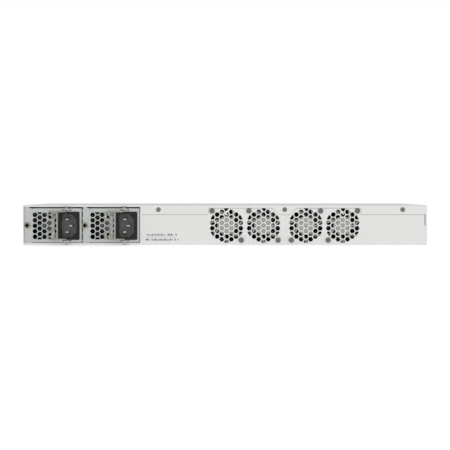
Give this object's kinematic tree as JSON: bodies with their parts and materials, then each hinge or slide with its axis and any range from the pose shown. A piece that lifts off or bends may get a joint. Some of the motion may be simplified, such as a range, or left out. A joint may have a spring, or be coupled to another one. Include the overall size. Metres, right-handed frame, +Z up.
{
  "type": "rackmount network switch",
  "caption": "Shallow one-unit rackmount network switch with rear fans behind honeycomb vents, slide-in power supplies and port cages on the front",
  "frame": {"origin": "middle of the chassis underside, midway between the rear panel and the front panel", "axes": "+Z up, the rear panel with the fans and power supplies faces -Y, the ports face +Y, +X is to the right as seen from the rear"},
  "size_m": [0.4826, 0.3185, 0.044],
  "materials": {
    "painted_steel": "light grey powder coat, fine texture",
    "zinc_steel": "zinc-plated sheet, satin",
    "screw_steel": "dark satin screws",
    "fan_screw_steel": "satin zinc screws",
    "bent_steel": "bright bent bar and wire",
    "bronze_screw": "bronze-plated knurled head",
    "black_nylon": "black moulded nylon",
    "pin_metal": "bright plated pins",
    "fan_black": "black moulded plastic",
    "fan_grey": "light grey moulded plastic",
    "lead_white": "white insulation",
    "spring_metal": "plated spring strip",
    "circuit_board": "green solder mask",
    "chip_black": "moulded package",
    "heatsink_aluminium": "extruded, natural",
    "cage_steel": "stamped cage sheet",
    "light_pipe": "clear light pipe",
    "rail_plastic": "black slide rail",
    "button_grey": "dark grey button"
  },
  "bodies": {
    "chassis": {"chassis_base": "painted_steel", "rear_panel": "painted_steel", "top_cover": "painted_steel", "front_panel": "painted_steel", "intake_grille": "painted_steel", "rack_ear_left": "painted_steel", "rack_ear_right": "painted_steel", "bay_divider": "zinc_steel", "screw_flanges": "zinc_steel", "bay_rails": "rail_plastic", "emi_fingers": "spring_metal", "cover_screws": "screw_steel", "side_screws": "screw_steel", "ear_screws": "screw_steel", "fan_screws": "fan_screw_steel", "fan_leads": "lead_white", "fan_1_frame": "fan_grey", "fan_2_frame": "fan_grey", "fan_3_frame": "fan_grey", "fan_4_frame": "fan_grey", "main_board": "circuit_board", "board_standoffs": "zinc_steel", "board_screws": "screw_steel", "switch_chip": "chip_black", "switch_heatsink": "heatsink_aluminium", "cpu_heatsink": "heatsink_aluminium", "memory_module": "circuit_board", "power_connectors": "black_nylon", "qsfp_cages": "cage_steel", "sfp_cages": "cage_steel", "rj45_jacks": "cage_steel", "light_pipes": "light_pipe", "reset_switch": "chip_black"},
    "fan_1_impeller": {"fan_1_impeller": "fan_black"},
    "fan_2_impeller": {"fan_2_impeller": "fan_black"},
    "fan_3_impeller": {"fan_3_impeller": "fan_black"},
    "fan_4_impeller": {"fan_4_impeller": "fan_black"},
    "psu_1": {"psu_1_case": "zinc_steel", "psu_1_faceplate": "zinc_steel", "psu_1_bail_tabs": "zinc_steel", "psu_1_inlet": "black_nylon", "psu_1_inlet_pins": "pin_metal", "psu_1_handle": "bent_steel", "psu_1_board": "circuit_board", "psu_1_fan_frame": "fan_black"},
    "psu_1_fan_impeller": {"psu_1_fan_impeller": "fan_black"},
    "psu_1_thumbscrew": {"psu_1_thumbscrew": "bronze_screw"},
    "psu_1_bail": {"psu_1_bail": "bent_steel"},
    "psu_2": {"psu_2_case": "zinc_steel", "psu_2_faceplate": "zinc_steel", "psu_2_bail_tabs": "zinc_steel", "psu_2_inlet": "black_nylon", "psu_2_inlet_pins": "pin_metal", "psu_2_handle": "bent_steel", "psu_2_board": "circuit_board", "psu_2_fan_frame": "fan_black"},
    "psu_2_fan_impeller": {"psu_2_fan_impeller": "fan_black"},
    "psu_2_thumbscrew": {"psu_2_thumbscrew": "bronze_screw"},
    "psu_2_bail": {"psu_2_bail": "bent_steel"},
    "reset_button": {"reset_button": "button_grey"}
  },
  "joints": [
    {"name": "fan_1_spin", "type": "hinge", "parent": "chassis", "child": "fan_1_impeller", "pos_m": [0.00175, -0.135, 0.0216], "axis": [0, 1, 0], "continuous": true},
    {"name": "fan_2_spin", "type": "hinge", "parent": "chassis", "child": "fan_2_impeller", "pos_m": [0.04215, -0.135, 0.0216], "axis": [0, 1, 0], "continuous": true},
    {"name": "fan_3_spin", "type": "hinge", "parent": "chassis", "child": "fan_3_impeller", "pos_m": [0.08865, -0.135, 0.0216], "axis": [0, 1, 0], "continuous": true},
    {"name": "fan_4_spin", "type": "hinge", "parent": "chassis", "child": "fan_4_impeller", "pos_m": [0.12905, -0.135, 0.0216], "axis": [0, 1, 0], "continuous": true},
    {"name": "psu_1_slide", "type": "slide", "parent": "chassis", "child": "psu_1", "axis": [0, -1, 0], "range_m": [0, 0.19]},
    {"name": "psu_1_fan_spin", "type": "hinge", "parent": "psu_1", "child": "psu_1_fan_impeller", "pos_m": [-0.1946, -0.135, 0.02135], "axis": [0, 1, 0], "continuous": true},
    {"name": "psu_1_thumbscrew_turn", "type": "hinge", "parent": "psu_1", "child": "psu_1_thumbscrew", "pos_m": [-0.2166, -0.1485, 0.02175], "axis": [0, 1, 0], "continuous": true},
    {"name": "psu_1_bail_swing", "type": "hinge", "parent": "psu_1", "child": "psu_1_bail", "pos_m": [-0.1732, -0.153, 0.02185], "axis": [0, 0, 1], "range_deg": [0, 110]},
    {"name": "psu_2_slide", "type": "slide", "parent": "chassis", "child": "psu_2", "axis": [0, -1, 0], "range_m": [0, 0.19]},
    {"name": "psu_2_fan_spin", "type": "hinge", "parent": "psu_2", "child": "psu_2_fan_impeller", "pos_m": [-0.1314, -0.135, 0.02135], "axis": [0, 1, 0], "continuous": true},
    {"name": "psu_2_thumbscrew_turn", "type": "hinge", "parent": "psu_2", "child": "psu_2_thumbscrew", "pos_m": [-0.1534, -0.1485, 0.02175], "axis": [0, 1, 0], "continuous": true},
    {"name": "psu_2_bail_swing", "type": "hinge", "parent": "psu_2", "child": "psu_2_bail", "pos_m": [-0.11, -0.153, 0.02185], "axis": [0, 0, 1], "range_deg": [0, 110]},
    {"name": "reset_press", "type": "slide", "parent": "chassis", "child": "reset_button", "axis": [0, -1, 0], "range_m": [0, 0.0005], "stiffness_N_per_m": 400, "springref_m": -0.001}
  ]
}
